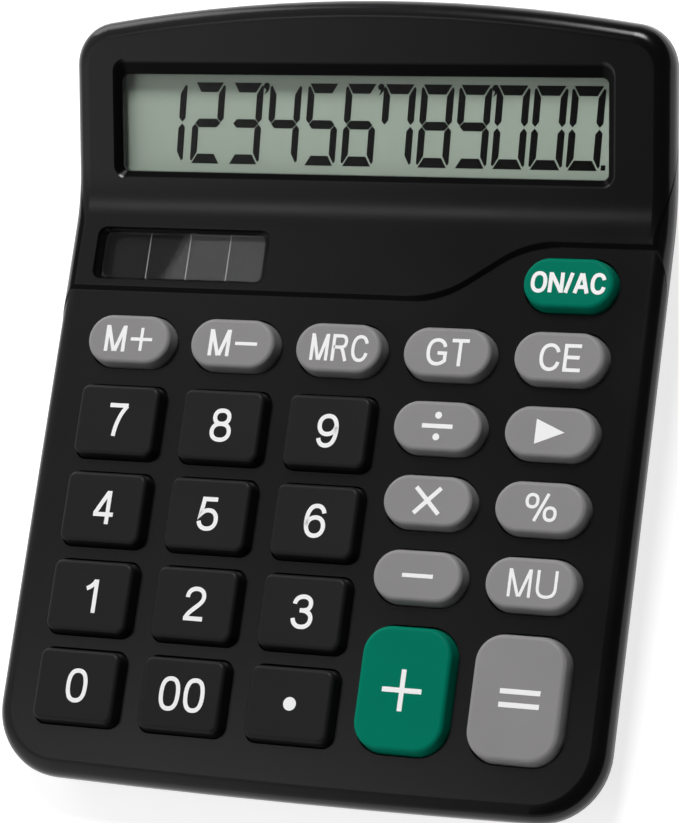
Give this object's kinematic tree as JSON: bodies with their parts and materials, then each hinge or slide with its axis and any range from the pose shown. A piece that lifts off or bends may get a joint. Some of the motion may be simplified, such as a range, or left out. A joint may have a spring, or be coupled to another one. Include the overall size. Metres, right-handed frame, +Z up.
{
  "type": "desk calculator",
  "caption": "Wedge-shaped desk calculator with a tilted display, solar cell, sprung keys and a sliding battery door.",
  "frame": {"origin": "on the desk under the middle of the case", "axes": "+X to the user's right, +Y away from the user towards the display, +Z up"},
  "size_m": [0.1174, 0.1434, 0.0408],
  "materials": {
    "case_plastic": "satin",
    "base_plastic": "matte",
    "clear_plastic": "gloss",
    "board_laminate": "satin",
    "silicone": "matte",
    "resin": "satin",
    "components": "satin",
    "display_glass": "gloss",
    "frame_plastic": "matte",
    "ribbon_film": "satin",
    "solar_glass": "gloss",
    "battery_can": "satin",
    "plated_steel": "polished",
    "wire": "satin",
    "screw_steel": "satin",
    "rubber": "matte",
    "green_keycap": "satin",
    "gray_keycap": "satin",
    "black_keycap": "satin"
  },
  "bodies": {
    "case": {"battery": "battery_can", "battery_leads": "wire", "board_components": "components", "board_screws": "screw_steel", "bottom_case": "base_plastic", "case_screws": "screw_steel", "circuit_board": "board_laminate", "controller_chip": "resin", "display_frame": "frame_plastic", "display_panel": "display_glass", "display_ribbon": "ribbon_film", "display_window": "clear_plastic", "dome_sheet": "silicone", "negative_contact": "plated_steel", "positive_contact": "plated_steel", "rubber_feet": "rubber", "solar_cell": "solar_glass", "solar_leads": "wire", "solar_window": "clear_plastic", "top_case": "case_plastic"},
    "door": {"battery_door": "base_plastic"},
    "on_clear_key": {"key_on_clear": "green_keycap"},
    "memory_add_key": {"key_memory_add": "gray_keycap"},
    "memory_subtract_key": {"key_memory_subtract": "gray_keycap"},
    "memory_recall_key": {"key_memory_recall": "gray_keycap"},
    "grand_total_key": {"key_grand_total": "gray_keycap"},
    "clear_entry_key": {"key_clear_entry": "gray_keycap"},
    "divide_key": {"key_divide": "gray_keycap"},
    "backspace_key": {"key_backspace": "gray_keycap"},
    "multiply_key": {"key_multiply": "gray_keycap"},
    "percent_key": {"key_percent": "gray_keycap"},
    "minus_key": {"key_minus": "gray_keycap"},
    "mark_up_key": {"key_mark_up": "gray_keycap"},
    "seven_key": {"key_seven": "black_keycap"},
    "eight_key": {"key_eight": "black_keycap"},
    "nine_key": {"key_nine": "black_keycap"},
    "four_key": {"key_four": "black_keycap"},
    "five_key": {"key_five": "black_keycap"},
    "six_key": {"key_six": "black_keycap"},
    "one_key": {"key_one": "black_keycap"},
    "two_key": {"key_two": "black_keycap"},
    "three_key": {"key_three": "black_keycap"},
    "zero_key": {"key_zero": "black_keycap"},
    "double_zero_key": {"key_double_zero": "black_keycap"},
    "decimal_point_key": {"key_decimal_point": "black_keycap"},
    "plus_key": {"key_plus": "green_keycap"},
    "equals_key": {"key_equals": "gray_keycap"}
  },
  "joints": [
    {"name": "on_clear_press", "type": "slide", "parent": "case", "child": "on_clear_key", "axis": [0, 0.1045, -0.9945], "range_m": [0, 0.0012], "stiffness_N_per_m": 400, "springref_m": -0.0005, "deforming": ["dome_sheet"]},
    {"name": "memory_add_press", "type": "slide", "parent": "case", "child": "memory_add_key", "axis": [0, 0.1045, -0.9945], "range_m": [0, 0.0012], "stiffness_N_per_m": 400, "springref_m": -0.0005, "deforming": ["dome_sheet"]},
    {"name": "memory_subtract_press", "type": "slide", "parent": "case", "child": "memory_subtract_key", "axis": [0, 0.1045, -0.9945], "range_m": [0, 0.0012], "stiffness_N_per_m": 400, "springref_m": -0.0005, "deforming": ["dome_sheet"]},
    {"name": "memory_recall_press", "type": "slide", "parent": "case", "child": "memory_recall_key", "axis": [0, 0.1045, -0.9945], "range_m": [0, 0.0012], "stiffness_N_per_m": 400, "springref_m": -0.0005, "deforming": ["dome_sheet"]},
    {"name": "grand_total_press", "type": "slide", "parent": "case", "child": "grand_total_key", "axis": [0, 0.1045, -0.9945], "range_m": [0, 0.0012], "stiffness_N_per_m": 400, "springref_m": -0.0005, "deforming": ["dome_sheet"]},
    {"name": "clear_entry_press", "type": "slide", "parent": "case", "child": "clear_entry_key", "axis": [0, 0.1045, -0.9945], "range_m": [0, 0.0012], "stiffness_N_per_m": 400, "springref_m": -0.0005, "deforming": ["dome_sheet"]},
    {"name": "divide_press", "type": "slide", "parent": "case", "child": "divide_key", "axis": [0, 0.1045, -0.9945], "range_m": [0, 0.0012], "stiffness_N_per_m": 400, "springref_m": -0.0005, "deforming": ["dome_sheet"]},
    {"name": "backspace_press", "type": "slide", "parent": "case", "child": "backspace_key", "axis": [0, 0.1045, -0.9945], "range_m": [0, 0.0012], "stiffness_N_per_m": 400, "springref_m": -0.0005, "deforming": ["dome_sheet"]},
    {"name": "multiply_press", "type": "slide", "parent": "case", "child": "multiply_key", "axis": [0, 0.1045, -0.9945], "range_m": [0, 0.0012], "stiffness_N_per_m": 400, "springref_m": -0.0005, "deforming": ["dome_sheet"]},
    {"name": "percent_press", "type": "slide", "parent": "case", "child": "percent_key", "axis": [0, 0.1045, -0.9945], "range_m": [0, 0.0012], "stiffness_N_per_m": 400, "springref_m": -0.0005, "deforming": ["dome_sheet"]},
    {"name": "minus_press", "type": "slide", "parent": "case", "child": "minus_key", "axis": [0, 0.1045, -0.9945], "range_m": [0, 0.0012], "stiffness_N_per_m": 400, "springref_m": -0.0005, "deforming": ["dome_sheet"]},
    {"name": "mark_up_press", "type": "slide", "parent": "case", "child": "mark_up_key", "axis": [0, 0.1045, -0.9945], "range_m": [0, 0.0012], "stiffness_N_per_m": 400, "springref_m": -0.0005, "deforming": ["dome_sheet"]},
    {"name": "seven_press", "type": "slide", "parent": "case", "child": "seven_key", "axis": [0, 0.1045, -0.9945], "range_m": [0, 0.0012], "stiffness_N_per_m": 400, "springref_m": -0.0005, "deforming": ["dome_sheet"]},
    {"name": "eight_press", "type": "slide", "parent": "case", "child": "eight_key", "axis": [0, 0.1045, -0.9945], "range_m": [0, 0.0012], "stiffness_N_per_m": 400, "springref_m": -0.0005, "deforming": ["dome_sheet"]},
    {"name": "nine_press", "type": "slide", "parent": "case", "child": "nine_key", "axis": [0, 0.1045, -0.9945], "range_m": [0, 0.0012], "stiffness_N_per_m": 400, "springref_m": -0.0005, "deforming": ["dome_sheet"]},
    {"name": "four_press", "type": "slide", "parent": "case", "child": "four_key", "axis": [0, 0.1045, -0.9945], "range_m": [0, 0.0012], "stiffness_N_per_m": 400, "springref_m": -0.0005, "deforming": ["dome_sheet"]},
    {"name": "five_press", "type": "slide", "parent": "case", "child": "five_key", "axis": [0, 0.1045, -0.9945], "range_m": [0, 0.0012], "stiffness_N_per_m": 400, "springref_m": -0.0005, "deforming": ["dome_sheet"]},
    {"name": "six_press", "type": "slide", "parent": "case", "child": "six_key", "axis": [0, 0.1045, -0.9945], "range_m": [0, 0.0012], "stiffness_N_per_m": 400, "springref_m": -0.0005, "deforming": ["dome_sheet"]},
    {"name": "one_press", "type": "slide", "parent": "case", "child": "one_key", "axis": [0, 0.1045, -0.9945], "range_m": [0, 0.0012], "stiffness_N_per_m": 400, "springref_m": -0.0005, "deforming": ["dome_sheet"]},
    {"name": "two_press", "type": "slide", "parent": "case", "child": "two_key", "axis": [0, 0.1045, -0.9945], "range_m": [0, 0.0012], "stiffness_N_per_m": 400, "springref_m": -0.0005, "deforming": ["dome_sheet"]},
    {"name": "three_press", "type": "slide", "parent": "case", "child": "three_key", "axis": [0, 0.1045, -0.9945], "range_m": [0, 0.0012], "stiffness_N_per_m": 400, "springref_m": -0.0005, "deforming": ["dome_sheet"]},
    {"name": "zero_press", "type": "slide", "parent": "case", "child": "zero_key", "axis": [0, 0.1045, -0.9945], "range_m": [0, 0.0012], "stiffness_N_per_m": 400, "springref_m": -0.0005, "deforming": ["dome_sheet"]},
    {"name": "double_zero_press", "type": "slide", "parent": "case", "child": "double_zero_key", "axis": [0, 0.1045, -0.9945], "range_m": [0, 0.0012], "stiffness_N_per_m": 400, "springref_m": -0.0005, "deforming": ["dome_sheet"]},
    {"name": "decimal_point_press", "type": "slide", "parent": "case", "child": "decimal_point_key", "axis": [0, 0.1045, -0.9945], "range_m": [0, 0.0012], "stiffness_N_per_m": 400, "springref_m": -0.0005, "deforming": ["dome_sheet"]},
    {"name": "plus_press", "type": "slide", "parent": "case", "child": "plus_key", "axis": [0, 0.1045, -0.9945], "range_m": [0, 0.0012], "stiffness_N_per_m": 400, "springref_m": -0.0005, "deforming": ["dome_sheet"]},
    {"name": "equals_press", "type": "slide", "parent": "case", "child": "equals_key", "axis": [0, 0.1045, -0.9945], "range_m": [0, 0.0012], "stiffness_N_per_m": 400, "springref_m": -0.0005, "deforming": ["dome_sheet"]},
    {"name": "battery_door_slide", "type": "slide", "parent": "case", "child": "door", "axis": [0, 1, 0], "range_m": [0, 0.03]}
  ]
}
